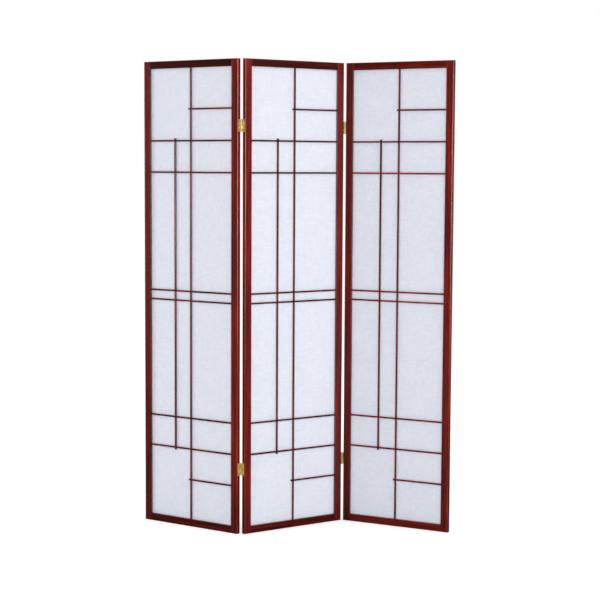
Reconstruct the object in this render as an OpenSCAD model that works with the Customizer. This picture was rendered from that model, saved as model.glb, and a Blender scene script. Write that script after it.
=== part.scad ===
// Folding room divider: three hinged panels, each a wooden frame with a sheet of paper held between two
// lattices of thin bars. It stands on its stiles, folded to a zigzag.
//
// X runs along the screen from left to right, Y away from the viewer, Z up. The origin is on the floor, at
// the middle of the space that the standing screen takes. A panel's own frame has its corner at the foot of
// the left stile's outer edge, at the front face.

/* [Panels] */
// Width of one panel over its two stiles
panel_w = 440; // [320:1:600]
// Height of one panel
panel_h = 1784; // [1500:1:2200]
// Thickness of the frame, face to face
frame_t = 19; // [17:0.5:28]
// Width of a stile, seen from the front
stile_w = 30; // [26:0.5:50]
// Height of the top and bottom rail, seen from the front
rail_h = 28; // [26:0.5:60]
// How far a rail's face lies behind the stiles' faces
rail_step = 0.5; // [0.2:0.1:1.2]
// Radius along a stile's outer edges
stile_r = 5; // [2:0.1:7]
// Small radius or bevel along the other edges of the frame
frame_ease = 1; // [0.4:0.1:1.5]

/* [Rail joints] */
// Length of a rail's tenon inside the stile
tenon_len = 20; // [12:0.5:22]
// Height of the tenon
tenon_h = 16; // [10:0.5:17]
// Thickness of the tenon
tenon_t = 8; // [5:0.5:10]
// Distance from the end of the stile to the tenon
tenon_edge = 4; // [3:0.5:5]
// Clearance round a tenon in its mortise
tenon_fit = 0.1; // [0.05:0.05:0.3]

/* [Lattice] */
// Width of a lattice bar, seen from the front
bar_w = 6; // [4:0.1:10]
// Depth of a lattice bar, from its face to the paper
bar_t = 6; // [4:0.1:7]
// Bevel along a bar's two outer edges
bar_ease = 0.5; // [0.2:0.1:1]
// Distance from the centre bar to the side bar
side_bar_gap = 73.5; // [30:0.5:110]
// Distance from the end of the panel to the short cross bar
short_bar_drop = 182; // [120:1:220]
// Distance from the short cross bar to the next cross bar, and from there to the third
cross_pitch = 119.5; // [60:0.5:150]
// Distance between the two cross bars at half height
pair_gap = 36; // [20:0.5:80]
// How far a bar's free end stands out past the bar that it crosses
bar_tip = 6; // [2:0.5:12]
// How deep the other bar ends are let into the frame
bar_seat = 4; // [2:0.5:4.5]
// Clearance round a bar's end in the frame
seat_fit = 0.1; // [0.05:0.05:0.2]
// Clearance beside a bar in a halved crossing
lap_fit = 0.05; // [0.02:0.01:0.15]

/* [Paper] */
// Thickness of the paper
paper_t = 0.4; // [0.2:0.1:0.8]
// Depth of the groove in the frame that holds the paper's edge
groove_depth = 5; // [3:0.5:6]
// Clearance on each side of the paper in its groove
groove_fit = 0.3; // [0.1:0.1:0.5]
// Gap between the paper's edge and the bottom of its groove
groove_end_gap = 0.5; // [0.2:0.1:1]

/* [Hinges] */
// Height of a hinge
hinge_h = 46; // [38:0.5:76]
// Distance from the end of the panel to the middle of a hinge
hinge_drop = 247; // [150:1:400]
// Width of a hinge leaf, from the pin's axis to its free edge
leaf_w = 17.5; // [15:0.5:19]
// Thickness of a hinge leaf
leaf_t = 1.3; // [0.9:0.1:1.8]
// Radius of a leaf's free corners
leaf_r = 2; // [0.5:0.1:3]
// Diameter of a hinge pin
pin_d = 3.2; // [2.4:0.1:4.5]
// Height of the rounded head on each end of a pin
pin_head_h = 1.2; // [0.8:0.1:1.4]
// Running clearance round the pin
pin_play = 0.05; // [0.02:0.01:0.09]
// Gap between neighbouring knuckles
knuckle_gap = 0.3; // [0.2:0.05:0.6]
// Gap left between the faces of two panels that are folded together
fold_gap = 1; // [0.4:0.1:3]

/* [Hinge screws] */
// Diameter of a screw's shank
screw_d = 2.9; // [2.2:0.1:3.5]
// Diameter of a screw's countersunk head
screw_head_d = 5.5; // [4.6:0.1:6.2]
// Length of a screw
screw_len = 12; // [8:0.5:16]
// Distance between the three screws of a leaf
screw_pitch = 15.5; // [12:0.5:18]
// Clearance round a screw
screw_fit = 0.05; // [0.02:0.01:0.1]
// Length of each arm of the cross recess in a screw's head, from tip to tip
recess_len = 3.2; // [2:0.1:4]
// Width of the cross recess
recess_w = 0.7; // [0.4:0.1:1]
// Depth of the cross recess
recess_depth = 0.8; // [0.4:0.1:1]

/* [Stance] */
// Turn of the middle panel from the screen's own line
middle_turn = 32; // [0:1:60]
// Fold between the left and the middle panel, 0 where they lie in one plane
left_fold = 64; // [0:1:180]
// Fold between the middle and the right panel, 0 where they lie in one plane
right_fold = 58; // [0:1:180]

/* [Hidden] */

$fn = 64;

// Overlap that carries a cut clear of the face it opens
cut = 1;

// Depths in the panel, from its front face
bar_face = (frame_t - paper_t) / 2 - bar_t;
paper_face = (frame_t - paper_t) / 2;

// Places across the panel
centre_x = panel_w / 2;
side_x = centre_x - side_bar_gap;
opening_right = panel_w - stile_w;

// Heights of the cross bars' centre lines
low_crosses = [short_bar_drop + cross_pitch, short_bar_drop + 2 * cross_pitch, (panel_h - pair_gap) / 2];
full_crosses = concat(low_crosses, [for (z = low_crosses) panel_h - z]);
short_crosses = [short_bar_drop, panel_h - short_bar_drop];
all_crosses = concat(full_crosses, short_crosses);

// Hinge: the knuckle wraps the pin with the leaf's own thickness, and the leaf lies against the stile's edge
bore_r = pin_d / 2 + pin_play;
knuckle_r = bore_r + leaf_t;
knuckle_count = 5;
knuckle_pitch = hinge_h / knuckle_count;
leaf_start = knuckle_r + knuckle_gap;
screw_line = (leaf_start + leaf_w) / 2;
screw_hole_r = screw_d / 2 + screw_fit;
hinge_heights = [hinge_drop, panel_h - hinge_drop];
screw_heights = [for (z = hinge_heights, i = [-1:1]) z + i * screw_pitch];

// Pins in the middle panel's frame: behind its left stile and in front of its right stile
left_pin = [-knuckle_r, frame_t + fold_gap / 2];
right_pin = [panel_w + knuckle_r, -fold_gap / 2];
// The same pins in the frames of the outer panels
left_pin_seen_from_left = [panel_w + knuckle_r, frame_t + fold_gap / 2];
right_pin_seen_from_right = [-knuckle_r, -fold_gap / 2];

// The standing screen is centred on the space that it takes: that of the round corners of its panels, each
// given by its centre and radius, and of the free edges of its hinge leaves, given as corners of no radius
function turned(p, a) = [p.x * cos(a) - p.y * sin(a), p.x * sin(a) + p.y * cos(a)];
function spot_on_left(p) = turned(left_pin + turned(p - left_pin_seen_from_left, -left_fold), middle_turn);
function spot_on_middle(p) = turned(p, middle_turn);
function spot_on_right(p) = turned(right_pin + turned(p - right_pin_seen_from_right, -right_fold), middle_turn);
leaf_reach = leaf_w - fold_gap / 2;
corners = [for (x = [stile_r, panel_w - stile_r], y = [stile_r, frame_t - stile_r]) [x, y]];
round_spots = concat(
    [for (c = corners) spot_on_left(c)],
    [for (c = corners) spot_on_middle(c)],
    [for (c = corners) spot_on_right(c)]
);
leaf_spots = [
    spot_on_left([panel_w + leaf_t, frame_t - leaf_reach]),
    spot_on_middle([-leaf_t, frame_t - leaf_reach]),
    spot_on_middle([panel_w + leaf_t, leaf_reach]),
    spot_on_right([-leaf_t, leaf_reach]),
];
function low(i) = min([for (s = round_spots) s[i] - stile_r, for (s = leaf_spots) s[i]]);
function high(i) = max([for (s = round_spots) s[i] + stile_r, for (s = leaf_spots) s[i]]);
middle_of_stance = [(low(0) + high(0)) / 2, (low(1) + high(1)) / 2];

wood = "#5a1c17";
dark_wood = "#4a1512";
paper_white = "#e9eef4";
brass = "#d2ab4a";

// Placing

module middle_panel() {
    translate(-middle_of_stance) rotate(middle_turn) children();
}

module left_panel() {
    middle_panel() translate(left_pin) rotate(-left_fold) translate(-left_pin_seen_from_left) children();
}

module right_panel() {
    middle_panel() translate(right_pin) rotate(-right_fold) translate(-right_pin_seen_from_right) children();
}

// What is drawn for the front face, at the back face
module on_back() {
    translate([0, frame_t, 0]) mirror([0, 1, 0]) children();
}

// What is drawn at the left edge of the panel, at the right edge
module on_right_edge() {
    translate([panel_w, 0, 0]) mirror([1, 0, 0]) children();
}

// What is drawn at the foot of the panel, at its top
module on_top() {
    translate([0, 0, panel_h]) mirror([0, 0, 1]) children();
}

// Frame

// Section of a stile: large radius on the outer edges, at x = 0, and small radius on the inner ones
module stile_section() {
    translate([stile_r, 0]) square([stile_w - stile_r - frame_ease, frame_t]);
    translate([0, stile_r]) square([stile_w / 2, frame_t - 2 * stile_r]);
    translate([stile_w / 2, frame_ease]) square([stile_w / 2, frame_t - 2 * frame_ease]);
    for (y = [stile_r, frame_t - stile_r]) translate([stile_r, y]) circle(r = stile_r);
    for (y = [frame_ease, frame_t - frame_ease]) translate([stile_w - frame_ease, y]) circle(r = frame_ease);
}

// Upright face of a stile with bevelled corners
module bevelled_face(w) {
    polygon([
        [0, frame_ease], [frame_ease, 0], [w - frame_ease, 0], [w, frame_ease],
        [w, panel_h - frame_ease], [w - frame_ease, panel_h], [frame_ease, panel_h], [0, panel_h - frame_ease]
    ]);
}

module groove_in_stile() {
    groove_w = paper_t + 2 * groove_fit;
    low = rail_h - groove_depth;
    translate([stile_w - groove_depth, (frame_t - groove_w) / 2, low])
        cube([groove_depth + cut, groove_w, panel_h - 2 * low]);
}

// Seats for the ends of the cross bars of both lattices
module bar_seats_in_stile(heights) {
    for (z = heights, y = [bar_face, frame_t - bar_face - bar_t])
        translate([stile_w - bar_seat - seat_fit, y - seat_fit, z - bar_w / 2 - seat_fit])
            cube([bar_seat + seat_fit + cut, bar_t + 2 * seat_fit, bar_w + 2 * seat_fit]);
}

module mortises_in_stile() {
    for (z = [tenon_edge, panel_h - tenon_edge - tenon_h])
        translate([stile_w - tenon_len - tenon_fit, (frame_t - tenon_t) / 2 - tenon_fit, z - tenon_fit])
            cube([tenon_len + tenon_fit + cut, tenon_t + 2 * tenon_fit, tenon_h + 2 * tenon_fit]);
}

// Pilot holes for the screws of both hinges, where the pins stand at the front face
module pilot_holes() {
    for (z = screw_heights)
        translate([-cut, screw_line - fold_gap / 2, z]) rotate([0, 90, 0])
            cylinder(h = screw_len - leaf_t + screw_fit + cut, r = screw_hole_r);
}

// Stile with its outer edge at x = 0, the seats for its cross bars, and any hinge: "none", "front" or "back"
module stile(crosses, hinge_side) {
    color(wood) difference() {
        intersection() {
            linear_extrude(panel_h) stile_section();
            translate([0, frame_t, 0]) rotate([90, 0, 0]) linear_extrude(frame_t) bevelled_face(stile_w);
            rotate([90, 0, 90]) linear_extrude(stile_w) bevelled_face(frame_t);
        }
        groove_in_stile();
        bar_seats_in_stile(crosses);
        mortises_in_stile();
        if (hinge_side == "front") pilot_holes();
        if (hinge_side == "back") on_back() pilot_holes();
    }
}

module left_stile(hinge_side) {
    stile(full_crosses, hinge_side);
}

module right_stile(hinge_side) {
    on_right_edge() stile(all_crosses, hinge_side);
}

// Section of a rail, with its outer face at z = 0
module rail_section() {
    rail_t = frame_t - 2 * rail_step;
    translate([rail_step, frame_ease]) square([rail_t, rail_h - 2 * frame_ease]);
    translate([rail_step + frame_ease, 0]) square([rail_t - 2 * frame_ease, rail_h]);
    for (y = [rail_step + frame_ease, frame_t - rail_step - frame_ease], z = [frame_ease, rail_h - frame_ease])
        translate([y, z]) circle(r = frame_ease);
}

module rail() {
    groove_w = paper_t + 2 * groove_fit;
    opening_w = opening_right - stile_w;
    color(dark_wood) difference() {
        union() {
            translate([stile_w, 0, 0]) rotate([90, 0, 90]) linear_extrude(opening_w) rail_section();
            translate([stile_w - tenon_len, (frame_t - tenon_t) / 2, tenon_edge])
                cube([opening_w + 2 * tenon_len, tenon_t, tenon_h]);
        }
        translate([stile_w - cut, (frame_t - groove_w) / 2, rail_h - groove_depth])
            cube([opening_w + 2 * cut, groove_w, groove_depth + cut]);
        for (y = [bar_face, frame_t - bar_face - bar_t])
            translate([centre_x - bar_w / 2 - seat_fit, y - seat_fit, rail_h - bar_seat - seat_fit])
                cube([bar_w + 2 * seat_fit, bar_t + 2 * seat_fit, bar_seat + seat_fit + cut]);
    }
}

module bottom_rail() {
    rail();
}

module top_rail() {
    on_top() rail();
}

// Paper

module paper() {
    edge = groove_depth - groove_end_gap;
    color(paper_white) translate([stile_w - edge, paper_face, rail_h - edge])
        cube([opening_right - stile_w + 2 * edge, paper_t, panel_h - 2 * rail_h + 2 * edge]);
}

// Lattice at the front: a bar's face is at y = bar_face and its back lies on the paper

// Section of a bar, with its bevelled face at y = 0
module bar_section() {
    polygon([
        [bar_ease, 0], [bar_w - bar_ease, 0], [bar_w, bar_ease],
        [bar_w, bar_t], [0, bar_t], [0, bar_ease]
    ]);
}

// Upright bar centred on x, with the face half cut away where cross bars pass
module upright_bar(x, low, high, crosses) {
    color(wood) difference() {
        translate([x - bar_w / 2, bar_face, low]) linear_extrude(high - low) bar_section();
        for (z = crosses)
            translate([x - bar_w / 2 - cut, bar_face - cut, z - bar_w / 2 - lap_fit])
                cube([bar_w + 2 * cut, bar_t / 2 + cut, bar_w + 2 * lap_fit]);
    }
}

// Cross bar centred on z, with the paper half cut away where upright bars pass
module cross_bar(z, left, right, uprights) {
    color(wood) difference() {
        translate([left, bar_face, z + bar_w / 2]) rotate([0, 90, 0]) linear_extrude(right - left)
            bar_section();
        for (x = uprights)
            translate([x - bar_w / 2 - lap_fit, bar_face + bar_t / 2, z - bar_w / 2 - cut])
                cube([bar_w + 2 * lap_fit, bar_t / 2 + cut, bar_w + 2 * cut]);
    }
}

// Bar from the bottom rail to the top rail
module centre_bar() {
    upright_bar(centre_x, rail_h - bar_seat, panel_h - rail_h + bar_seat, all_crosses);
}

// Bar that runs just past the lowest and the highest full cross bar
module side_bar() {
    reach = bar_w / 2 + bar_tip;
    upright_bar(side_x, min(full_crosses) - reach, max(full_crosses) + reach, full_crosses);
}

// Six bars from stile to stile
module cross_bars() {
    for (z = full_crosses)
        cross_bar(z, stile_w - bar_seat, opening_right + bar_seat, [side_x, centre_x]);
}

// Two bars from just past the centre bar to the right stile
module short_bars() {
    for (z = short_crosses)
        cross_bar(z, centre_x - bar_w / 2 - bar_tip, opening_right + bar_seat, [centre_x]);
}

// Hinges: the pin's axis is at x = y = 0, the leaf runs along +Y and its stile is on the +X side

module knuckle(i) {
    low = -hinge_h / 2 + i * knuckle_pitch + knuckle_gap / 2;
    h = knuckle_pitch - knuckle_gap;
    translate([0, 0, low]) cylinder(h = h, r = knuckle_r);
    translate([knuckle_r - leaf_t, 0, low]) cube([leaf_t, leaf_start + cut, h]);
}

// Flat of a leaf, seen from its stile: square corners at the knuckles and rounded ones at the free edge
module leaf_outline() {
    translate([leaf_start, -hinge_h / 2]) square([leaf_w - leaf_start - leaf_r, hinge_h]);
    translate([leaf_w - 2 * leaf_r, leaf_r - hinge_h / 2]) square([2 * leaf_r, hinge_h - 2 * leaf_r]);
    for (z = [-1, 1]) translate([leaf_w - leaf_r, z * (hinge_h / 2 - leaf_r)]) circle(r = leaf_r);
}

// Leaf with the knuckles of the given numbers, counted from the bottom
module leaf(knuckles) {
    sink = screw_head_d / 2 + screw_fit - screw_hole_r;
    color(brass) difference() {
        union() {
            translate([knuckle_r - leaf_t, 0, 0]) rotate([90, 0, 90]) linear_extrude(leaf_t) leaf_outline();
            for (i = knuckles) knuckle(i);
        }
        cylinder(h = hinge_h + 2 * cut, r = bore_r, center = true);
        for (i = [-1:1]) translate([knuckle_r - leaf_t, screw_line, i * screw_pitch]) rotate([0, 90, 0]) {
            cylinder(h = leaf_t + cut, r = screw_hole_r);
            cylinder(h = sink, r1 = screw_head_d / 2 + screw_fit, r2 = screw_hole_r);
            translate([0, 0, -cut]) cylinder(h = cut, r = screw_head_d / 2 + screw_fit);
        }
    }
}

// Pin as long as the hinge, with a rounded head on each end
module pin() {
    head_r = knuckle_r - leaf_t / 3;
    color(brass) {
        cylinder(h = hinge_h, r = pin_d / 2, center = true);
        for (side = [0, 1]) mirror([0, 0, side]) translate([0, 0, hinge_h / 2]) rotate_extrude()
            intersection() {
                translate([0, pin_head_h - head_r]) circle(r = head_r);
                square([head_r, pin_head_h]);
            }
    }
}

// Countersunk screw along +X, with the top of its head at x = 0
module screw() {
    head_h = (screw_head_d - screw_d) / 2;
    point_h = screw_d;
    color(brass) rotate([0, 90, 0]) difference() {
        union() {
            cylinder(h = head_h, r1 = screw_head_d / 2, r2 = screw_d / 2);
            cylinder(h = screw_len - point_h, r = screw_d / 2);
            translate([0, 0, screw_len - point_h]) cylinder(h = point_h, r1 = screw_d / 2, r2 = 0);
        }
        for (a = [0, 90]) rotate(a) translate([-recess_len / 2, -recess_w / 2, -cut])
            cube([recess_len, recess_w, recess_depth + cut]);
    }
}

// The six screws of one stile, where its pins stand at the front face
module screws() {
    for (z = screw_heights) translate([-leaf_t, screw_line - fold_gap / 2, z]) screw();
}

// A hinge piece where the pin stands in front of the left edge of a panel
module at_front_pin(height) {
    translate([-knuckle_r, -fold_gap / 2, height]) children();
}

middle_knuckles = [0, 2, 4];
outer_knuckles = [1, 3];
bottom = hinge_heights[0];
top = hinge_heights[1];

left_panel() left_stile("none");  // left_panel_left_stile
left_panel() right_stile("back");  // left_panel_right_stile
left_panel() top_rail();  // left_panel_top_rail
left_panel() bottom_rail();  // left_panel_bottom_rail
left_panel() paper();  // left_panel_paper
left_panel() centre_bar();  // left_panel_front_centre_bar
left_panel() side_bar();  // left_panel_front_side_bar
left_panel() cross_bars();  // left_panel_front_cross_bars
left_panel() short_bars();  // left_panel_front_short_bars
left_panel() on_back() centre_bar();  // left_panel_back_centre_bar
left_panel() on_back() side_bar();  // left_panel_back_side_bar
left_panel() on_back() cross_bars();  // left_panel_back_cross_bars
left_panel() on_back() short_bars();  // left_panel_back_short_bars

middle_panel() left_stile("back");  // middle_panel_left_stile
middle_panel() right_stile("front");  // middle_panel_right_stile
middle_panel() top_rail();  // middle_panel_top_rail
middle_panel() bottom_rail();  // middle_panel_bottom_rail
middle_panel() paper();  // middle_panel_paper
middle_panel() centre_bar();  // middle_panel_front_centre_bar
middle_panel() side_bar();  // middle_panel_front_side_bar
middle_panel() cross_bars();  // middle_panel_front_cross_bars
middle_panel() short_bars();  // middle_panel_front_short_bars
middle_panel() on_back() centre_bar();  // middle_panel_back_centre_bar
middle_panel() on_back() side_bar();  // middle_panel_back_side_bar
middle_panel() on_back() cross_bars();  // middle_panel_back_cross_bars
middle_panel() on_back() short_bars();  // middle_panel_back_short_bars

right_panel() left_stile("front");  // right_panel_left_stile
right_panel() right_stile("none");  // right_panel_right_stile
right_panel() top_rail();  // right_panel_top_rail
right_panel() bottom_rail();  // right_panel_bottom_rail
right_panel() paper();  // right_panel_paper
right_panel() centre_bar();  // right_panel_front_centre_bar
right_panel() side_bar();  // right_panel_front_side_bar
right_panel() cross_bars();  // right_panel_front_cross_bars
right_panel() short_bars();  // right_panel_front_short_bars
right_panel() on_back() centre_bar();  // right_panel_back_centre_bar
right_panel() on_back() side_bar();  // right_panel_back_side_bar
right_panel() on_back() cross_bars();  // right_panel_back_cross_bars
right_panel() on_back() short_bars();  // right_panel_back_short_bars

left_panel() on_right_edge() on_back() at_front_pin(top) leaf(outer_knuckles);  // left_top_hinge_outer_leaf
middle_panel() on_back() at_front_pin(top) leaf(middle_knuckles);  // left_top_hinge_middle_leaf
middle_panel() on_back() at_front_pin(top) pin();  // left_top_hinge_pin
left_panel() on_right_edge() on_back() at_front_pin(bottom) leaf(outer_knuckles);  // left_bottom_hinge_outer_leaf
middle_panel() on_back() at_front_pin(bottom) leaf(middle_knuckles);  // left_bottom_hinge_middle_leaf
middle_panel() on_back() at_front_pin(bottom) pin();  // left_bottom_hinge_pin

right_panel() at_front_pin(top) leaf(outer_knuckles);  // right_top_hinge_outer_leaf
middle_panel() on_right_edge() at_front_pin(top) leaf(middle_knuckles);  // right_top_hinge_middle_leaf
middle_panel() on_right_edge() at_front_pin(top) pin();  // right_top_hinge_pin
right_panel() at_front_pin(bottom) leaf(outer_knuckles);  // right_bottom_hinge_outer_leaf
middle_panel() on_right_edge() at_front_pin(bottom) leaf(middle_knuckles);  // right_bottom_hinge_middle_leaf
middle_panel() on_right_edge() at_front_pin(bottom) pin();  // right_bottom_hinge_pin

left_panel() on_right_edge() on_back() screws();  // left_hinges_outer_screws
middle_panel() on_back() screws();  // left_hinges_middle_screws
middle_panel() on_right_edge() screws();  // right_hinges_middle_screws
right_panel() screws();  // right_hinges_outer_screws
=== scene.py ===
"""Finishes for a folding screen of three paper panels, laid over its packed construction."""

import math

import bpy
from mathutils import Matrix
from mathutils import Vector


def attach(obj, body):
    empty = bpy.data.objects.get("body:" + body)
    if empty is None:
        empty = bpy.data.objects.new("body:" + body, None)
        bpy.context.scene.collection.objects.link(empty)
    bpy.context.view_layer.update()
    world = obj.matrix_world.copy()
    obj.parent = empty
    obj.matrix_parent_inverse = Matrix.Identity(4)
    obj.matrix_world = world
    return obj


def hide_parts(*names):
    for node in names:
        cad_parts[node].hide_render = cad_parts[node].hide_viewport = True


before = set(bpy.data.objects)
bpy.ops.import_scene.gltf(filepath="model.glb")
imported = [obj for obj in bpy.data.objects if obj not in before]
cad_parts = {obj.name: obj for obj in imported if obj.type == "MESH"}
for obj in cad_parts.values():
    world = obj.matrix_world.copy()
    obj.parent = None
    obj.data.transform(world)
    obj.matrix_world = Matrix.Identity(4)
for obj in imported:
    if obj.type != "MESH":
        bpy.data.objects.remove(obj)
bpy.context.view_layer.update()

bl_info = {
    "name": "Folding Paper Screen",
    "version": (1, 0, 0),
    "blender": (4, 5, 0),
    "location": "View3D > Sidebar > Paper Screen",
    "description": "Stained wood, paper, brass hinges and a studio for a folding screen",
    "category": "Object",
}

MM = 0.001
PANELS = ("left", "middle", "right")
JOINTS = ("left", "right")
FACES = ("front", "back")

# Nearly all of a noise pattern lies between these two values.
NOISE_LOW = 0.3
NOISE_HIGH = 0.7

# The values of the streaks' pattern where the wood has its deep, its common and its light colour.
DEEP_AT = 0.32
MID_AT = 0.5
LIGHT_AT = 0.7

# A pore and end grain are the deep colour, times these shares.
PORE_SHADE = 0.3
END_SHADE = 0.25

# The lacquer is duller by the first over deep streaks, and shinier by the second over light ones.
DULLER = 0.06
SHINIER = 0.04

# An upright is darker towards the bottom: it keeps the first share of its colour below the first
# height, and all of it above the second.
FOOT_DARKEST_SHARE = 0.76
FOOT_LOW = 50 * MM
FOOT_TOP = 350 * MM

# How much lighter or darker than the rest a thread of the paper is.
THREAD_CONTRAST = 0.06

# A sheet's mesh is free of the rim up to this share of its width and height from its middle.
FREE_OF_RIM = 0.49

# Plating is shinier by the first between its scratches, and duller by the second in them.
CLEAN_SHINE = 0.07
SCRATCH_DULL = 0.1

# Each lamp's name, the setting that holds its power, its place, its width and its height.
LAMPS = (
    ("key lamp", "key_power", (0.9, -4.5, 1.35), 1.1, 1.8),
    ("high lamp", "high_power", (3.0, -1.9, 3.4), 1.2, 1.2),
    ("left lamp", "left_power", (-3.0, 0.25, 1.3), 0.5, 1.8),
    ("back lamp", "back_power", (0.8, 4.1, 1.8), 1.2, 1.8),
)

# The lamps are aimed at the middle of the screen.
AIM = Vector((0, 0, 0.9))

# The floor's lift to white is the first near the screen's middle and the second far from it, and
# it changes between the two distances.
NEAR_LIFT = 0.48
FAR_LIFT = 0.6
NEAR_FLOOR = 0.8
FAR_FLOOR = 3.5


def linear(code):
    """The linear colour of an sRGB hex code."""
    shades = [int(code[i : i + 2], 16) / 255 for i in (1, 3, 5)]
    return [s / 12.92 if s <= 0.04045 else ((s + 0.055) / 1.055) ** 2.4 for s in shades]


def lie_of(panel):
    """Where a panel's paper lies: its centre, its turn about the upright, its width and height."""
    corners = [v.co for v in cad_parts[panel + "_panel_paper"].data.vertices]
    middle = sum(corners, Vector()) / len(corners)
    left = [c for c in corners if c.x < middle.x]
    right = [c for c in corners if c.x > middle.x]
    across = sum(right, Vector()) / len(right) - sum(left, Vector()) / len(left)
    height = max(c.z for c in corners) - min(c.z for c in corners)
    return middle, math.atan2(across.y, across.x), across.length, height


def ends_of(name, turn, upright):
    """Where a CAD node starts and ends along its grain."""
    axis = Vector((0, 0, 1)) if upright else Vector((math.cos(turn), math.sin(turn), 0))
    places = [v.co.dot(axis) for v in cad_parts[name].data.vertices]
    return min(places), max(places)


class WoodSettings(bpy.types.PropertyGroup):
    """Stained and lacquered wood."""

    stile_deep: bpy.props.FloatVectorProperty(
        name="Stile Shadow Grain",
        description="Darkest streaks of the stiles",
        subtype="COLOR",
        min=0,
        max=1,
        default=linear("#4A0A05"),
    )
    stile_mid: bpy.props.FloatVectorProperty(
        name="Stile Stain",
        description="Common colour of the stiles",
        subtype="COLOR",
        min=0,
        max=1,
        default=linear("#701207"),
    )
    stile_light: bpy.props.FloatVectorProperty(
        name="Stile Light Grain",
        description="Lightest streaks of the stiles",
        subtype="COLOR",
        min=0,
        max=1,
        default=linear("#8E2210"),
    )
    rail_deep: bpy.props.FloatVectorProperty(
        name="Rail Shadow Grain",
        description="Darkest streaks of the rails",
        subtype="COLOR",
        min=0,
        max=1,
        default=linear("#480A05"),
    )
    rail_mid: bpy.props.FloatVectorProperty(
        name="Rail Stain",
        description="Common colour of the rails",
        subtype="COLOR",
        min=0,
        max=1,
        default=linear("#701408"),
    )
    rail_light: bpy.props.FloatVectorProperty(
        name="Rail Light Grain",
        description="Lightest streaks of the rails",
        subtype="COLOR",
        min=0,
        max=1,
        default=linear("#942814"),
    )
    bar_deep: bpy.props.FloatVectorProperty(
        name="Bar Shadow Grain",
        description="Darkest streaks of the lattice bars",
        subtype="COLOR",
        min=0,
        max=1,
        default=linear("#3C0A06"),
    )
    bar_mid: bpy.props.FloatVectorProperty(
        name="Bar Stain",
        description="Common colour of the lattice bars",
        subtype="COLOR",
        min=0,
        max=1,
        default=linear("#6A1609"),
    )
    bar_light: bpy.props.FloatVectorProperty(
        name="Bar Light Grain",
        description="Lightest streaks of the lattice bars",
        subtype="COLOR",
        min=0,
        max=1,
        default=linear("#962F1A"),
    )
    streak_width: bpy.props.FloatProperty(
        name="Streak Width",
        description="Width of a streak of grain",
        default=7 * MM,
        min=1 * MM,
        max=40 * MM,
        unit="LENGTH",
    )
    streak_length: bpy.props.FloatProperty(
        name="Streak Length",
        description="Length of a streak of grain",
        default=260 * MM,
        min=20 * MM,
        max=1,
        unit="LENGTH",
    )
    pore_width: bpy.props.FloatProperty(
        name="Pore Width",
        description="Width of a pore, drawn about three times as coarse as a real one",
        default=1 * MM,
        min=0.1 * MM,
        max=4 * MM,
        unit="LENGTH",
    )
    pore_length: bpy.props.FloatProperty(
        name="Pore Length",
        description="Length of a pore",
        default=16 * MM,
        min=1 * MM,
        max=80 * MM,
        unit="LENGTH",
    )
    stile_tones: bpy.props.FloatVectorProperty(
        name="Stile Tones",
        description="How light the stain came out on each stile, from the left end to the right",
        size=6,
        min=0,
        max=4,
        default=(0.82, 0.98, 1.25, 1.1, 0.8, 1.06),
    )
    # Painted shade: the narrow sides of the stiles are darkened as if shade fell on them. Only the
    # left panel's right stile keeps its sides as light as its faces.
    stile_painted_side_shades: bpy.props.FloatVectorProperty(
        name="Stile Side Tones",
        description="How light the narrow sides of each stile are beside its faces",
        size=6,
        min=0,
        max=4,
        default=(0.5, 1.0, 0.5, 0.5, 0.5, 0.5),
    )
    # Partly wear and partly a painted highlight: the rounded edges of the left panel's right stile
    # and the right panel's right stile, which face the lamps, are made much lighter.
    stile_edge_wear_and_highlight: bpy.props.FloatVectorProperty(
        name="Stile Edge Wear",
        description="How much lighter each stile is at its rounded edges, where it was sanded",
        size=6,
        min=0,
        max=4,
        default=(0.2, 1.6, 0.2, 0.2, 0.2, 0.9),
    )
    rail_tones: bpy.props.FloatVectorProperty(
        name="Rail Tones",
        description="How light the stain came out on the top and the bottom rail of each panel",
        size=6,
        min=0,
        max=4,
        default=(0.28, 0.55, 0.42, 0.5, 0.75, 0.78),
    )
    bar_tones: bpy.props.FloatVectorProperty(
        name="Bar Tones",
        description="How light the centre, side, cross and short bars of each panel came out",
        size=12,
        min=0,
        max=4,
        default=(1.45, 1.1, 0.95, 0.9, 1.2, 0.98, 0.7, 0.68, 1.28, 0.9, 1.55, 1.5),
    )
    # Painted shade: the narrow sides of the upright bars are darkened as if shade fell on them.
    bar_painted_side_shade: bpy.props.FloatProperty(
        name="Bar Side Tone",
        description="How light the narrow sides of the upright bars are beside their faces",
        default=0.5,
        min=0,
        max=4,
    )
    tip_length: bpy.props.FloatProperty(
        name="Tip Length",
        description="How far the stain has darkened a bar from its free end",
        default=7 * MM,
        min=0,
        max=40 * MM,
        unit="LENGTH",
    )
    lacquer_roughness: bpy.props.FloatProperty(
        name="Lacquer Roughness",
        description="Roughness of the sprayed satin lacquer",
        default=0.22,
        min=0,
        max=1,
        subtype="FACTOR",
    )


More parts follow.
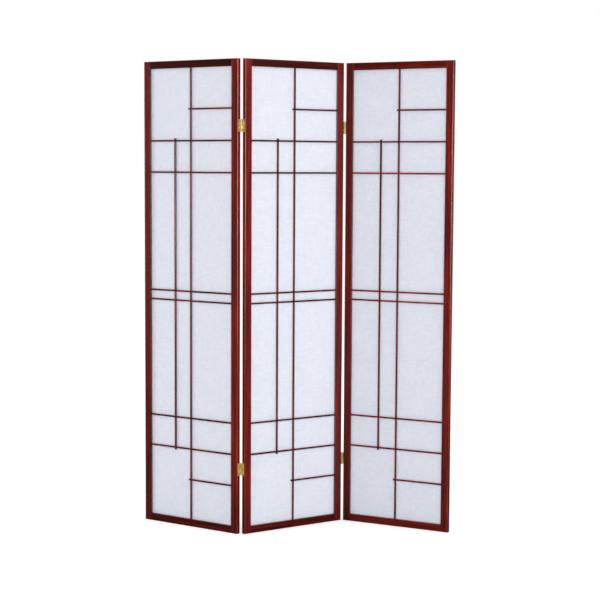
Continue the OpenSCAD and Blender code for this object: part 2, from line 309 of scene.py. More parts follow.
class PaperSettings(bpy.types.PropertyGroup):
    """Fibre paper stretched in the frames."""

    sheet_thickness: bpy.props.FloatProperty(
        name="Sheet Thickness",
        description="Thickness of the paper",
        default=0.2 * MM,
        min=0.05 * MM,
        max=0.4 * MM,
        unit="LENGTH",
    )
    cockle: bpy.props.FloatProperty(
        name="Cockle",
        description="How far the paper swells out of flat between the bars, all told",
        default=0.1 * MM,
        min=0,
        max=0.2 * MM,
        unit="LENGTH",
    )
    cockle_size: bpy.props.FloatProperty(
        name="Cockle Size",
        description="Width of one swelling of the paper",
        default=90 * MM,
        min=10 * MM,
        max=400 * MM,
        unit="LENGTH",
    )
    cell: bpy.props.FloatProperty(
        name="Mesh Cell",
        description="Width of one cell of the sheet's mesh",
        default=18 * MM,
        min=4 * MM,
        max=100 * MM,
        unit="LENGTH",
    )
    thin_colour: bpy.props.FloatVectorProperty(
        name="Thin Paper",
        description="Colour where the fibres lie thin",
        subtype="COLOR",
        min=0,
        max=1,
        default=linear("#E5E8F2"),
    )
    thick_colour: bpy.props.FloatVectorProperty(
        name="Thick Paper",
        description="Colour where the fibres lie thick",
        subtype="COLOR",
        min=0,
        max=1,
        default=linear("#EEF1F9"),
    )
    cloud_size: bpy.props.FloatProperty(
        name="Cloud Size",
        description="Width of one cloud of fibres",
        default=14 * MM,
        min=2 * MM,
        max=200 * MM,
        unit="LENGTH",
    )
    fibre_spacing: bpy.props.FloatProperty(
        name="Fibre Spacing",
        description="Spacing of the long fibres",
        default=34 * MM,
        min=2 * MM,
        max=200 * MM,
        unit="LENGTH",
    )
    thread_width: bpy.props.FloatProperty(
        name="Thread Width",
        description="Width of a thread of fibres, drawn about eight times as coarse as real",
        default=4 * MM,
        min=0.2 * MM,
        max=20 * MM,
        unit="LENGTH",
    )
    thread_length: bpy.props.FloatProperty(
        name="Thread Length",
        description="Length of a thread of fibres",
        default=50 * MM,
        min=2 * MM,
        max=400 * MM,
        unit="LENGTH",
    )
    # Painted light and shade: one paper is made lighter in the middle panel and darker in the right
    # one, standing for how each panel is lit.
    painted_light_tones: bpy.props.FloatVectorProperty(
        name="Paper Tones",
        description="How light the paper of each panel is",
        size=3,
        min=0,
        max=2,
        default=(0.98, 1.015, 0.945),
    )
    glow: bpy.props.FloatProperty(
        name="Glow",
        description="Share of the light that the paper passes on from behind",
        default=0.28,
        min=0,
        max=1,
        subtype="FACTOR",
    )


class BrassSettings(bpy.types.PropertyGroup):
    """Brass-plated hinges and screws."""

    bright: bpy.props.FloatVectorProperty(
        name="Bright Brass",
        description="Colour of clean plating",
        subtype="COLOR",
        min=0,
        max=1,
        default=linear("#FFEE94"),
    )
    dull: bpy.props.FloatVectorProperty(
        name="Dull Brass",
        description="Colour of handled plating",
        subtype="COLOR",
        min=0,
        max=1,
        default=linear("#BE983E"),
    )
    cloud_size: bpy.props.FloatProperty(
        name="Tarnish Size",
        description="Width of one cloud of tarnish",
        default=6 * MM,
        min=1 * MM,
        max=60 * MM,
        unit="LENGTH",
    )
    dent_size: bpy.props.FloatProperty(
        name="Dent Size",
        description="Width of one of the soft dents that tumbling leaves",
        default=3.5 * MM,
        min=0.5 * MM,
        max=20 * MM,
        unit="LENGTH",
    )
    scratch_width: bpy.props.FloatProperty(
        name="Scratch Width",
        description="Width of a tumbling scratch, drawn about five times as coarse as real",
        default=0.5 * MM,
        min=0.05 * MM,
        max=3 * MM,
        unit="LENGTH",
    )
    roughness: bpy.props.FloatProperty(
        name="Roughness",
        description="Roughness of the plated steel",
        default=0.38,
        min=0,
        max=1,
        subtype="FACTOR",
    )


class StudioSettings(bpy.types.PropertyGroup):
    """Floor, lamps and camera."""

    floor_colour: bpy.props.FloatVectorProperty(
        name="Floor",
        description="Colour of the studio floor",
        subtype="COLOR",
        min=0,
        max=1,
        default=linear("#E2E2E2"),
    )
    floor_size: bpy.props.FloatProperty(
        name="Floor Size",
        description="Side of the square floor",
        default=60,
        min=4,
        max=200,
        unit="LENGTH",
    )
    room_light: bpy.props.FloatProperty(
        name="Room Light",
        description="Strength of the even light from all round",
        default=0.58,
        min=0,
        max=2,
    )
    dim_side: bpy.props.FloatProperty(
        name="Dim Side",
        description="How bright the front of the room shows in a reflection",
        default=0.06,
        min=0,
        max=2,
    )
    pale_side: bpy.props.FloatProperty(
        name="Pale Side",
        description="How bright the backdrop shows in a reflection",
        default=0.35,
        min=0,
        max=2,
    )
    key_power: bpy.props.FloatProperty(
        name="Key Power",
        description="Power of the tall lamp beside the camera",
        default=84,
        min=0,
        max=2000,
        unit="POWER",
    )
    high_power: bpy.props.FloatProperty(
        name="High Power",
        description="Power of the high lamp at the front right",
        default=22,
        min=0,
        max=2000,
        unit="POWER",
    )
    left_power: bpy.props.FloatProperty(
        name="Left Power",
        description="Power of the tall lamp at the left",
        default=19,
        min=0,
        max=2000,
        unit="POWER",
    )
    back_power: bpy.props.FloatProperty(
        name="Back Power",
        description="Power of the tall lamp behind the screen",
        default=30,
        min=0,
        max=2000,
        unit="POWER",
    )
    camera_place: bpy.props.FloatVectorProperty(
        name="Camera Place",
        description="Where the camera stands",
        subtype="TRANSLATION",
        unit="LENGTH",
        default=(0.0183, -5.5292, 1.3898),
    )
    camera_heading: bpy.props.FloatProperty(
        name="Camera Heading",
        description="Turn of the camera to the right",
        default=math.radians(-0.039),
        subtype="ANGLE",
    )
    camera_tilt: bpy.props.FloatProperty(
        name="Camera Tilt",
        description="Tilt of the camera above the level",
        default=math.radians(-4.8),
        subtype="ANGLE",
    )
    camera_roll: bpy.props.FloatProperty(
        name="Camera Roll",
        description="Roll of the camera about its own line of sight",
        default=math.radians(0.305),
        subtype="ANGLE",
    )
    lens: bpy.props.FloatProperty(
        name="Lens",
        description="Focal length in millimetres on a sensor 36 mm wide",
        default=87.27,
        min=10,
        max=300,
        subtype="DISTANCE_CAMERA",
    )
    shift: bpy.props.FloatProperty(
        name="Lens Shift",
        description="Upward shift of the picture, as a share of its width",
        default=-0.02,
        min=-0.5,
        max=0.5,
    )


def add(tree, kind, sockets, **settings):
    """Adds a node with its settings. Each socket gets a value, or a link from the output given."""
    node = tree.nodes.new(kind)
    for field, value in settings.items():
        setattr(node, field, value)
    for name, value in sockets.items():
        if isinstance(value, bpy.types.NodeSocket):
            tree.links.new(value, node.inputs[name])
        else:
            node.inputs[name].default_value = value
    return node


def new_material(name):
    """An empty material and its nodes."""
    material = bpy.data.materials.new(name)
    material.use_nodes = True
    material.node_tree.nodes.clear()
    return material, material.node_tree


def finish(names, material):
    """Gives CAD nodes a material, in every slot that they have."""
    for name in names:
        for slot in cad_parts[name].material_slots:
            slot.material = material


# Lacquered hardwood, such as rubberwood, planed, stained cherry red and sprayed with satin
# lacquer. The eye sees long streaks of darker and lighter red-brown along each piece, fine
# dark pores in the same direction, darker ends where the end grain has drunk the stain, and
# a soft shine. Each board drank the stain differently, so each has a tone of its own.
def stained_wood(
    name, colours, tone, turn, upright, start, painted_side_shade=1.0, wear_and_highlight=0.0, tips=None
):
    """Wood whose grain runs up the piece, or along the panel that is turned by that angle.

    The tone multiplies the colours, start moves the pattern to another part of the board, and
    an upright also has a painted shade on its narrow sides, and a lightening of its rounded
    edges that is partly wear and partly a painted highlight. Tips are the ends of a bar, as
    places along its grain.
    """
    wood = bpy.context.scene.screen_wood
    deep, mid, light = ([tone * c for c in colour] for colour in colours)
    material, tree = new_material(name)
    place = add(tree, "ShaderNodeTexCoord", {})

    def pattern(width, length, **sockets):
        """Noise stretched along the grain, in real sizes."""
        size = (width, width, length) if upright else (length, width, width)
        laid = add(
            tree,
            "ShaderNodeMapping",
            {
                "Vector": place.outputs["Object"],
                "Location": start,
                "Rotation": (0, 0, turn),
                "Scale": size,
            },
            vector_type="TEXTURE",
        )
        noise = {"Vector": laid.outputs["Vector"], "Scale": 1.0, **sockets}
        return add(tree, "ShaderNodeTexNoise", noise).outputs["Fac"]

    streaks = pattern(
        wood.streak_width, wood.streak_length, Detail=4.0, Roughness=0.6, Distortion=0.5
    )
    grain = add(tree, "ShaderNodeValToRGB", {"Fac": streaks})
    ramp = grain.color_ramp
    ramp.elements[0].position = DEEP_AT
    ramp.elements[0].color = (*deep, 1)
    ramp.elements[1].position = LIGHT_AT
    ramp.elements[1].color = (*light, 1)
    ramp.elements.new(MID_AT).color = (*mid, 1)

    # The stain also lies unevenly in patches about five streaks wide.
    board = pattern(5 * wood.streak_width, 1.5 * wood.streak_length, Detail=2.0)
    shade = add(
        tree,
        "ShaderNodeMapRange",
        {
            "Value": board,
            "From Min": NOISE_LOW,
            "From Max": NOISE_HIGH,
            "To Min": 0.72,
            "To Max": 1.16,
        },
    )
    stained = add(
        tree,
        "ShaderNodeMix",
        {0: 1.0, 6: grain.outputs["Color"], 7: shade.outputs["Result"]},
        data_type="RGBA",
        blend_type="MULTIPLY",
    )
    if upright:
        # The narrow sides of an upright get a painted shade beside its faces, and the upright is
        # darker towards the bottom.
        parts = add(tree, "ShaderNodeSeparateXYZ", {"Vector": place.outputs["Object"]})
        foot = add(
            tree,
            "ShaderNodeMapRange",
            {
                "Value": parts.outputs["Z"],
                "From Min": FOOT_LOW,
                "From Max": FOOT_TOP,
                "To Min": FOOT_DARKEST_SHARE,
                "To Max": 1.0,
            },
        )
        across = (math.cos(turn), math.sin(turn), 0)
        sideways = add(
            tree,
            "ShaderNodeVectorMath",
            {0: place.outputs["Normal"], 1: across},
            operation="DOT_PRODUCT",
        )
        side = add(
            tree,
            "ShaderNodeMath",
            {0: sideways.outputs["Value"], 1: 2.0},
            operation="POWER",
        )
        # This mask gives the narrow sides their painted shade.
        face = add(
            tree,
            "ShaderNodeMapRange",
            {
                "Value": side.outputs["Value"],
                "From Min": 0.6,
                "From Max": 1.0,
                "To Min": 1.0,
                "To Max": painted_side_shade,
            },
        )
        foot_and_painted_side_shade = add(
            tree,
            "ShaderNodeMath",
            {0: foot.outputs["Result"], 1: face.outputs["Result"]},
            operation="MULTIPLY",
        )

        # Halfway round an edge, this product is at its highest, a quarter, where the lightening is
        # whole. The lightening is partly wear and partly a painted highlight, where the edge would
        # catch the lamps.
        front = add(
            tree,
            "ShaderNodeMath",
            {0: 1.0, 1: side.outputs["Value"]},
            operation="SUBTRACT",
        )
        round_edge = add(
            tree,
            "ShaderNodeMath",
            {0: side.outputs["Value"], 1: front.outputs["Value"]},
            operation="MULTIPLY",
        )
        worn_and_highlit_edge = add(
            tree,
            "ShaderNodeMath",
            {0: round_edge.outputs["Value"], 1: 4 * wear_and_highlight, 2: 1.0},
            operation="MULTIPLY_ADD",
        )
        shade_wear_and_highlight = add(
            tree,
            "ShaderNodeMath",
            {0: foot_and_painted_side_shade.outputs["Value"], 1: worn_and_highlit_edge.outputs["Value"]},
            operation="MULTIPLY",
        )
        stained = add(
            tree,
            "ShaderNodeMix",
            {0: 1.0, 6: stained.outputs[2], 7: shade_wear_and_highlight.outputs["Value"]},
            data_type="RGBA",
            blend_type="MULTIPLY",
        )

    pores = pattern(wood.pore_width, wood.pore_length, Detail=1.0)
    pore = add(
        tree,
        "ShaderNodeMapRange",
        {"Value": pores, "From Min": 0.6, "From Max": 0.7, "To Min": 0.0, "To Max": 0.45},
    )
    pored = add(
        tree,
        "ShaderNodeMix",
        {
            0: pore.outputs["Result"],
            6: stained.outputs[2],
            7: (*[c * PORE_SHADE for c in deep], 1),
        },
        data_type="RGBA",
    )

    # End grain, which faces along the grain, is dark, and so are the free tips of a bar.
    axis = (0, 0, 1) if upright else (math.cos(turn), math.sin(turn), 0)
    facing = add(
        tree,
        "ShaderNodeVectorMath",
        {0: place.outputs["Normal"], 1: axis},
        operation="DOT_PRODUCT",
    )
    square = add(tree, "ShaderNodeMath", {0: facing.outputs["Value"], 1: 2.0}, operation="POWER")
    end = add(
        tree,
        "ShaderNodeMapRange",
        {
            "Value": square.outputs["Value"],
            "From Min": 0.4,
            "From Max": 0.9,
            "To Min": 0.0,
            "To Max": 0.75,
        },
    )
    dark = end.outputs["Result"]
    if tips:
        along = add(
            tree,
            "ShaderNodeVectorMath",
            {0: place.outputs["Object"], 1: axis},
            operation="DOT_PRODUCT",
        )
        off_middle = add(
            tree,
            "ShaderNodeMath",
            {0: along.outputs["Value"], 1: sum(tips) / 2},
            operation="SUBTRACT",
        )
        reach = add(tree, "ShaderNodeMath", {0: off_middle.outputs["Value"]}, operation="ABSOLUTE")
        half = (tips[1] - tips[0]) / 2
        tip = add(
            tree,
            "ShaderNodeMapRange",
            {
                "Value": reach.outputs["Value"],
                "From Min": half - wood.tip_length,
                "From Max": half - 0.5 * wood.tip_length,
                "To Min": 0.0,
                "To Max": 0.85,
            },
        )
        darker = add(
            tree,
            "ShaderNodeMath",
            {0: dark, 1: tip.outputs["Result"]},
            operation="MAXIMUM",
        )
        dark = darker.outputs["Value"]
    colour = add(
        tree,
        "ShaderNodeMix",
        {0: dark, 6: pored.outputs[2], 7: (*[c * END_SHADE for c in deep], 1)},
        data_type="RGBA",
    )

    shine = add(
        tree,
        "ShaderNodeMapRange",
        {
            "Value": streaks,
            "From Min": NOISE_LOW,
            "From Max": NOISE_HIGH,
            "To Min": wood.lacquer_roughness + DULLER,
            "To Max": wood.lacquer_roughness - SHINIER,
        },
    )
    # The lacquer fills the pores, so only the streaks stand in relief.
    relief = add(
        tree,
        "ShaderNodeBump",
        {"Height": streaks, "Strength": 0.35, "Distance": 0.15 * MM},
    )
    surface = add(
        tree,
        "ShaderNodeBsdfPrincipled",
        {
            "Base Color": colour.outputs[2],
            "Roughness": shine.outputs["Result"],
            "Specular IOR Level": 0.8 if upright else 0.5,
            "Normal": relief.outputs["Normal"],
        },
    )
    add(tree, "ShaderNodeOutputMaterial", {"Surface": surface.outputs["BSDF"]})
    return material


# Screen paper of long and short plant fibres, cast wet on a mesh, dried and bleached. The eye
# sees a cool white sheet with no shine, faint clouds where the fibres lie thicker, fine threads
# that run up and across the sheet, a few long crinkled fibres, and a glow where light comes
# from behind.
def fibre_paper(name, tone, turn):
    """Matt paper that lets some light through, in a panel that is turned by that angle."""
    paper = bpy.context.scene.screen_paper
    material, tree = new_material(name)
    place = add(tree, "ShaderNodeTexCoord", {}).outputs["Object"]

    def threads(size):
        """Noise that is stretched to a thread's width and length."""
        laid = add(
            tree,
            "ShaderNodeMapping",
            {"Vector": place, "Rotation": (0, 0, turn), "Scale": size},
            vector_type="TEXTURE",
        )
        return add(
            tree,
            "ShaderNodeTexNoise",
            {"Vector": laid.outputs["Vector"], "Scale": 1.0, "Detail": 1.0},
        ).outputs["Fac"]

    width, length = paper.thread_width, paper.thread_length
    crossing = add(
        tree,
        "ShaderNodeMath",
        {0: threads((width, width, length)), 1: threads((length, width, width))},
        operation="ADD",
    )
    # The tone is painted light and shade: it makes the one paper lighter or darker in each panel as
    # that panel is lit.
    woven = add(
        tree,
        "ShaderNodeMapRange",
        {
            "Value": crossing.outputs["Value"],
            "From Min": 2 * NOISE_LOW,
            "From Max": 2 * NOISE_HIGH,
            "To Min": (1 - THREAD_CONTRAST) * tone,
            "To Max": (1 + THREAD_CONTRAST) * tone,
        },
    )
    clouds = add(
        tree,
        "ShaderNodeTexNoise",
        {"Vector": place, "Scale": 1 / paper.cloud_size, "Detail": 4.0, "Roughness": 0.6},
    )
    thickness = add(
        tree,
        "ShaderNodeMapRange",
        {
            "Value": clouds.outputs["Fac"],
            "From Min": NOISE_LOW,
            "From Max": NOISE_HIGH,
            "To Min": 0.0,
            "To Max": 1.0,
        },
    )
    cast = add(
        tree,
        "ShaderNodeMix",
        {0: thickness.outputs["Result"], 6: (*paper.thin_colour, 1), 7: (*paper.thick_colour, 1)},
        data_type="RGBA",
    )
    threaded = add(
        tree,
        "ShaderNodeMix",
        {0: 1.0, 6: cast.outputs[2], 7: woven.outputs["Result"]},
        data_type="RGBA",
        blend_type="MULTIPLY",
    )

    # A long fibre follows the line where a slow noise passes its middle value. It is drawn
    # about 1.5 mm wide, five times as coarse as a real one, so that it shows.
    winding = add(
        tree,
        "ShaderNodeTexNoise",
        {"Vector": place, "Scale": 1 / paper.fibre_spacing, "Detail": 1.5, "Distortion": 1.2},
    )
    off_line = add(
        tree,
        "ShaderNodeMath",
        {0: winding.outputs["Fac"], 1: 0.5},
        operation="SUBTRACT",
    )
    distance = add(tree, "ShaderNodeMath", {0: off_line.outputs["Value"]}, operation="ABSOLUTE")
    fibre = add(
        tree,
        "ShaderNodeMapRange",
        {
            "Value": distance.outputs["Value"],
            "From Min": 0.0,
            "From Max": 0.02,
            "To Min": 0.5,
            "To Max": 0.0,
        },
    )
    colour = add(
        tree,
        "ShaderNodeMix",
        {0: fibre.outputs["Result"], 6: threaded.outputs[2], 7: (*linear("#F0F2F8"), 1)},
        data_type="RGBA",
    )

    raised = add(
        tree,
        "ShaderNodeMath",
        {0: thickness.outputs["Result"], 1: fibre.outputs["Result"]},
        operation="ADD",
    )
    relief = add(
        tree,
        "ShaderNodeBump",
        {"Height": raised.outputs["Value"], "Strength": 0.5, "Distance": 0.2 * MM},
    )
    matt = add(
        tree,
        "ShaderNodeBsdfPrincipled",
        {
            "Base Color": colour.outputs[2],
            "Roughness": 0.95,
            "Specular IOR Level": 0.15,
            "Normal": relief.outputs["Normal"],
        },
    )
    glow = add(tree, "ShaderNodeBsdfTranslucent", {"Color": (*linear("#F8F9FC"), 1)})
    both = add(
        tree,
        "ShaderNodeMixShader",
        {0: paper.glow, 1: matt.outputs["BSDF"], 2: glow.outputs["BSDF"]},
    )
    add(tree, "ShaderNodeOutputMaterial", {"Surface": both.outputs["Shader"]})
    return material


# Brass-plated steel, pressed from strip, tumbled and plated. The eye sees bright yellow metal
# with the soft dents and the fine crossing scratches of tumbling, and browner clouds where the
# plating has been handled.
def plated_brass(name, tone, roughness):
    """Plated metal, its colours times the tone."""
    brass = bpy.context.scene.screen_brass
    material, tree = new_material(name)
    place = add(tree, "ShaderNodeTexCoord", {}).outputs["Object"]
    clouds = add(
        tree,
        "ShaderNodeTexNoise",
        {"Vector": place, "Scale": 1 / brass.cloud_size, "Detail": 3.0, "Roughness": 0.6},
    )
    handled = add(
        tree,
        "ShaderNodeMapRange",
        {
            "Value": clouds.outputs["Fac"],
            "From Min": 0.43,
            "From Max": 0.64,
            "To Min": 0.0,
            "To Max": 1.0,
        },
    )
    colour = add(
        tree,
        "ShaderNodeMix",
        {
            0: handled.outputs["Result"],
            6: (*[c * tone for c in brass.bright], 1),
            7: (*[c * tone for c in brass.dull], 1),
        },
        data_type="RGBA",
    )
    scratches = add(
        tree,
        "ShaderNodeTexNoise",
        {"Vector": place, "Scale": 1 / brass.scratch_width, "Detail": 2.0, "Distortion": 2.0},
    )
    shine = add(
        tree,
        "ShaderNodeMapRange",
        {
            "Value": scratches.outputs["Fac"],
            "From Min": NOISE_LOW,
            "From Max": NOISE_HIGH,
            "To Min": roughness - CLEAN_SHINE,
            "To Max": roughness + SCRATCH_DULL,
        },
    )
    dents = add(
        tree,
        "ShaderNodeTexNoise",
        {"Vector": place, "Scale": 1 / brass.dent_size, "Detail": 1.0},
    )
    dented = add(
        tree,
        "ShaderNodeBump",
        {"Height": dents.outputs["Fac"], "Strength": 1.0, "Distance": 1.0 * MM},
    )
    relief = add(
        tree,
        "ShaderNodeBump",
        {
            "Height": scratches.outputs["Fac"],
            "Strength": 0.25,
            "Distance": 0.05 * MM,
            "Normal": dented.outputs["Normal"],
        },
    )
    surface = add(
        tree,
        "ShaderNodeBsdfPrincipled",
        {
            "Base Color": colour.outputs[2],
            "Metallic": 0.6,
            "Roughness": shine.outputs["Result"],
            "Normal": relief.outputs["Normal"],
        },
    )
    add(tree, "ShaderNodeOutputMaterial", {"Surface": surface.outputs["BSDF"]})
    return material


class StainStiles(bpy.types.Operator):
    """Stain and lacquer the six stiles"""

    bl_idname = "paper_screen.stain_stiles"
    bl_label = "Stain Stiles"

    def execute(self, context):
        wood = context.scene.screen_wood
        for i, panel in enumerate(PANELS):
            turn = lie_of(panel)[1]
            for j, side in enumerate(("left", "right")):
                # Each stile starts at another place of the pattern, so no two are alike.
                start = (0.31 * i, 0.17 * j, 0.43 * i + 0.71 * j)
                material = stained_wood(
                    f"stained lacquered wood, {panel} panel {side} stile",
                    (wood.stile_deep, wood.stile_mid, wood.stile_light),
                    wood.stile_tones[2 * i + j],
                    turn,
                    True,
                    start,
                    wood.stile_painted_side_shades[2 * i + j],
                    wood.stile_edge_wear_and_highlight[2 * i + j],
                )
                finish([f"{panel}_panel_{side}_stile"], material)
        return {"FINISHED"}


class StainRails(bpy.types.Operator):
    """Stain and lacquer the six rails"""

    bl_idname = "paper_screen.stain_rails"
    bl_label = "Stain Rails"

    def execute(self, context):
        wood = context.scene.screen_wood
        for i, panel in enumerate(PANELS):
            turn = lie_of(panel)[1]
            start = (0.37 * i, 0.23, 0.11 * i)
            for j, end in enumerate(("top", "bottom")):
                material = stained_wood(
                    f"stained lacquered wood, {panel} panel {end} rail",
                    (wood.rail_deep, wood.rail_mid, wood.rail_light),
                    wood.rail_tones[2 * i + j],
                    turn,
                    False,
                    start,
                )
                finish([f"{panel}_panel_{end}_rail"], material)
        return {"FINISHED"}


class StainBars(bpy.types.Operator):
    """Stain and lacquer the lattice bars of both faces"""

    bl_idname = "paper_screen.stain_bars"
    bl_label = "Stain Lattice Bars"

    def execute(self, context):
        wood = context.scene.screen_wood
        for i, panel in enumerate(PANELS):
            turn = lie_of(panel)[1]
            start = (0.29 * i, 0.41, 0.19 * i)
            for j, (way, kind, upright, has_tips) in enumerate(
                (
                    ("centre", "centre_bar", True, False),
                    ("side", "side_bar", True, True),
                    ("cross", "cross_bars", False, False),
                    ("short", "short_bars", False, True),
                )
            ):
                names = [f"{panel}_panel_{face}_{kind}" for face in FACES]
                material = stained_wood(
                    f"stained lacquered wood, {panel} panel {way} bars",
                    (wood.bar_deep, wood.bar_mid, wood.bar_light),
                    wood.bar_tones[4 * i + j],
                    turn,
                    upright,
                    start,
                    wood.bar_painted_side_shade,
                    tips=ends_of(names[0], turn, upright) if has_tips else None,
                )
                finish(names, material)
        return {"FINISHED"}


class StretchPapers(bpy.types.Operator):
    """Stretch a sheet of paper in each panel, between its two lattices"""

    bl_idname = "paper_screen.stretch_papers"
    bl_label = "Stretch Papers"

    def execute(self, context):
        paper = context.scene.screen_paper
        swelling = bpy.data.textures.new("paper swelling", "CLOUDS")
        swelling.noise_scale = paper.cockle_size
        swelling.noise_depth = 1
        # Each panel's paper gets its painted light and shade tone.
        for panel, tone in zip(PANELS, paper.painted_light_tones):
            centre, turn, width, height = lie_of(panel)
            bpy.ops.object.select_all(action="DESELECT")
            bpy.ops.mesh.primitive_grid_add(
                x_subdivisions=round(width / paper.cell),
                y_subdivisions=round(height / paper.cell),
                size=1,
                location=centre,
                rotation=(math.pi / 2, 0, turn),
            )
            sheet = context.object
            sheet.name = f"{panel}_paper_sheet"
            sheet.data.name = sheet.name
            sheet.scale = (width, height, 1)

            # The rim is glued in the groove and stays flat. Only the sheet inside it swells.
            free = sheet.vertex_groups.new(name="free of the rim")
            inside = [
                v.index
                for v in sheet.data.vertices
                if max(abs(v.co.x), abs(v.co.y)) < FREE_OF_RIM
            ]
            free.add(inside, 1.0, "REPLACE")
            bpy.ops.object.transform_apply(location=True, rotation=True, scale=True)
            swell = sheet.modifiers.new("swell", "DISPLACE")
            swell.texture = swelling
            swell.texture_coords = "LOCAL"
            swell.strength = paper.cockle
            swell.mid_level = 0.5
            swell.vertex_group = free.name
            bpy.ops.object.modifier_apply(modifier=swell.name)
            wall = sheet.modifiers.new("thickness", "SOLIDIFY")
            wall.thickness = paper.sheet_thickness
            wall.offset = 0
            bpy.ops.object.modifier_apply(modifier=wall.name)
            bpy.ops.object.shade_smooth_by_angle(angle=math.radians(30))
            sheet.vertex_groups.clear()
            material = fibre_paper(f"bleached fibre paper, {panel} panel", tone, turn)
            sheet.data.materials.append(material)

            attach(sheet, f"{panel}_panel")
            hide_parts(f"{panel}_panel_paper")
        return {"FINISHED"}


class PlateHinges(bpy.types.Operator):
    """Plate the leaves and the pins of the four hinges"""

    bl_idname = "paper_screen.plate_hinges"
    bl_label = "Plate Hinges"

    def execute(self, context):
        brass = context.scene.screen_brass
        leaf = plated_brass("brass-plated pressed steel", 1.0, brass.roughness)
        pin = plated_brass("brass-plated drawn wire", 0.95, brass.roughness - 0.04)
        for joint in JOINTS:
            for end in ("top", "bottom"):
                hinge = f"{joint}_{end}_hinge"
                finish([f"{hinge}_outer_leaf", f"{hinge}_middle_leaf"], leaf)
                finish([f"{hinge}_pin"], pin)
        return {"FINISHED"}


class PlateScrews(bpy.types.Operator):
    """Plate the screws of the four hinges"""

    bl_idname = "paper_screen.plate_screws"
    bl_label = "Plate Screws"

    def execute(self, context):
        brass = context.scene.screen_brass
        material = plated_brass("brass-plated turned steel", 0.85, brass.roughness + 0.02)
        for joint in JOINTS:
            finish([f"{joint}_hinges_{side}_screws" for side in ("outer", "middle")], material)
        return {"FINISHED"}


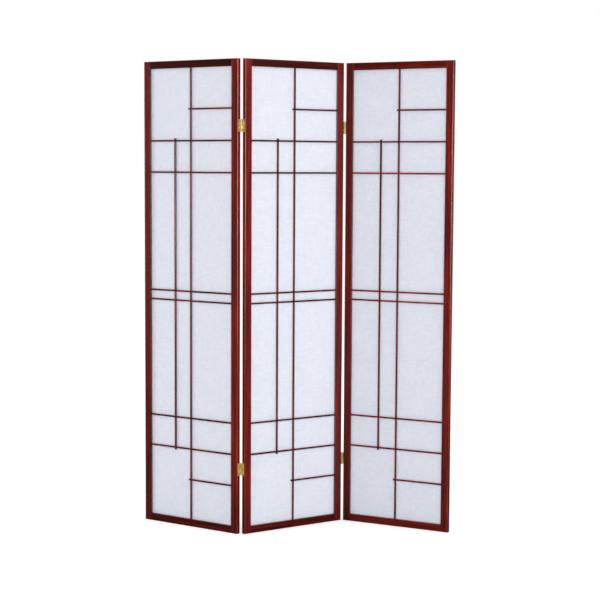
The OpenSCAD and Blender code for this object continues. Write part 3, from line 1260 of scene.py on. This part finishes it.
class SetStudio(bpy.types.Operator):
    """Lay the floor, light the room and stand the camera"""

    bl_idname = "paper_screen.set_studio"
    bl_label = "Set Studio"

    def execute(self, context):
        studio = context.scene.screen_studio
        self.lay_floor(context, studio)
        self.light_room(context, studio)
        for name, power, place, width, height in LAMPS:
            self.hang_lamp(context, name, getattr(studio, power), place, width, height)
        self.stand_camera(context, studio)
        return {"FINISHED"}

    def straight_rays(self, tree, path):
        """1 for a ray from the camera, or through glass, and 0 for the rest."""
        return add(
            tree,
            "ShaderNodeMath",
            {0: path.outputs["Is Camera Ray"], 1: path.outputs["Is Transmission Ray"]},
            operation="MAXIMUM",
        ).outputs["Value"]

    def mirrored_room(self, tree, studio, place, front, back):
        """How bright the room shows in a reflection, from dim at the front to pale at the back."""
        parts = add(tree, "ShaderNodeSeparateXYZ", {"Vector": place})
        return add(
            tree,
            "ShaderNodeMapRange",
            {
                "Value": parts.outputs["Y"],
                "From Min": front,
                "From Max": back,
                "To Min": studio.dim_side,
                "To Max": studio.pale_side,
            },
        ).outputs["Result"]

    def lay_floor(self, context, studio):
        """A wide pale floor that goes to white away from the screen's shadow."""
        bpy.ops.object.select_all(action="DESELECT")
        bpy.ops.mesh.primitive_plane_add(size=studio.floor_size, location=(0, 0, 0))
        floor = context.object
        floor.name = "studio_floor"
        material, tree = new_material("painted studio floor")
        paint = add(
            tree,
            "ShaderNodeBsdfPrincipled",
            {"Base Color": (*studio.floor_colour, 1), "Roughness": 0.9, "Specular IOR Level": 0.0},
        )
        # The lift to white is weaker near the screen, so that its shadow stays.
        path = add(tree, "ShaderNodeLightPath", {})
        place = add(tree, "ShaderNodeTexCoord", {}).outputs["Object"]
        away = add(tree, "ShaderNodeVectorMath", {0: place}, operation="LENGTH")
        strength = add(
            tree,
            "ShaderNodeMapRange",
            {
                "Value": away.outputs["Value"],
                "From Min": NEAR_FLOOR,
                "From Max": FAR_FLOOR,
                "To Min": NEAR_LIFT,
                "To Max": FAR_LIFT,
            },
        )
        lift = add(
            tree,
            "ShaderNodeMath",
            {0: self.straight_rays(tree, path), 1: strength.outputs["Result"]},
            operation="MULTIPLY",
        )
        white = add(tree, "ShaderNodeEmission", {"Strength": lift.outputs["Value"]})
        seen = add(
            tree,
            "ShaderNodeAddShader",
            {0: paint.outputs["BSDF"], 1: white.outputs["Emission"]},
        )
        mirrored = add(
            tree,
            "ShaderNodeEmission",
            {"Strength": self.mirrored_room(tree, studio, place, front=0.5, back=3.0)},
        )
        both = add(
            tree,
            "ShaderNodeMixShader",
            {
                0: path.outputs["Is Glossy Ray"],
                1: seen.outputs["Shader"],
                2: mirrored.outputs["Emission"],
            },
        )
        add(tree, "ShaderNodeOutputMaterial", {"Surface": both.outputs["Shader"]})
        floor.data.materials.append(material)

    def light_room(self, context, studio):
        """Even light from all round, and a white background."""
        world = bpy.data.worlds.new("studio room")
        world.use_nodes = True
        tree = world.node_tree
        tree.nodes.clear()
        path = add(tree, "ShaderNodeLightPath", {})
        direction = add(tree, "ShaderNodeTexCoord", {}).outputs["Generated"]
        room = add(
            tree,
            "ShaderNodeMix",
            {
                0: path.outputs["Is Glossy Ray"],
                2: studio.room_light,
                3: self.mirrored_room(tree, studio, direction, front=-0.3, back=0.6),
            },
            data_type="FLOAT",
        )
        strength = add(
            tree,
            "ShaderNodeMix",
            {0: self.straight_rays(tree, path), 2: room.outputs[0], 3: 1.0},
            data_type="FLOAT",
        )
        light = add(
            tree,
            "ShaderNodeBackground",
            {"Color": (1, 1, 1, 1), "Strength": strength.outputs[0]},
        )
        add(tree, "ShaderNodeOutputWorld", {"Surface": light.outputs["Background"]})
        context.scene.world = world

    def hang_lamp(self, context, name, power, place, width, height):
        """A soft lamp aimed at the middle of the screen."""
        lamp = bpy.data.lights.new(name, "AREA")
        lamp.energy = power
        lamp.shape = "RECTANGLE"
        lamp.size = width
        lamp.size_y = height
        hung = bpy.data.objects.new(name, lamp)
        hung.location = place
        hung.visible_camera = False
        hung.rotation_euler = (AIM - Vector(place)).to_track_quat("-Z", "Y").to_euler()
        context.collection.objects.link(hung)

    def stand_camera(self, context, studio):
        """A camera where the photograph's camera stood."""
        data = bpy.data.cameras.new("camera")
        data.sensor_width = 36
        data.lens = studio.lens
        data.shift_y = studio.shift
        camera = bpy.data.objects.new("camera", data)
        context.collection.objects.link(camera)
        camera.matrix_world = (
            Matrix.Translation(studio.camera_place)
            @ Matrix.Rotation(-studio.camera_heading, 4, "Z")
            @ Matrix.Rotation(math.pi / 2 + studio.camera_tilt, 4, "X")
            @ Matrix.Rotation(studio.camera_roll, 4, "Z")
        )
        context.scene.camera = camera
        context.scene.view_settings.view_transform = "Standard"


class PaperScreenPanel(bpy.types.Panel):
    """Finishes of the folding screen"""

    bl_idname = "VIEW3D_PT_paper_screen"
    bl_label = "Paper Screen"
    bl_space_type = "VIEW_3D"
    bl_region_type = "UI"
    bl_category = "Paper Screen"

    def draw(self, context):
        for title, group, operators in (
            ("Wood", context.scene.screen_wood, (StainStiles, StainRails, StainBars)),
            ("Paper", context.scene.screen_paper, (StretchPapers,)),
            ("Brass", context.scene.screen_brass, (PlateHinges, PlateScrews)),
            ("Studio", context.scene.screen_studio, (SetStudio,)),
        ):
            box = self.layout.box()
            box.label(text=title)
            for field in group.bl_rna.properties.keys():
                if field not in ("rna_type", "name"):
                    box.prop(group, field)
            for operator in operators:
                box.operator(operator.bl_idname)


GROUPS = (
    ("screen_wood", WoodSettings),
    ("screen_paper", PaperSettings),
    ("screen_brass", BrassSettings),
    ("screen_studio", StudioSettings),
)
OPERATORS = (
    StainStiles,
    StainRails,
    StainBars,
    StretchPapers,
    PlateHinges,
    PlateScrews,
    SetStudio,
)


def register():
    """Adds the settings, the operators and the panel to Blender."""
    for name, group in GROUPS:
        bpy.utils.register_class(group)
        setattr(bpy.types.Scene, name, bpy.props.PointerProperty(type=group))
    for kind in (*OPERATORS, PaperScreenPanel):
        bpy.utils.register_class(kind)


def unregister():
    """Takes them out again."""
    for kind in (PaperScreenPanel, *reversed(OPERATORS)):
        bpy.utils.unregister_class(kind)
    for name, group in reversed(GROUPS):
        delattr(bpy.types.Scene, name)
        bpy.utils.unregister_class(group)


def main():
    """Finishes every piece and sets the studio."""
    register()
    bpy.ops.paper_screen.stain_stiles()
    bpy.ops.paper_screen.stain_rails()
    bpy.ops.paper_screen.stain_bars()
    bpy.ops.paper_screen.stretch_papers()
    bpy.ops.paper_screen.plate_hinges()
    bpy.ops.paper_screen.plate_screws()
    bpy.ops.paper_screen.set_studio()


if __name__ == "__main__":
    main()
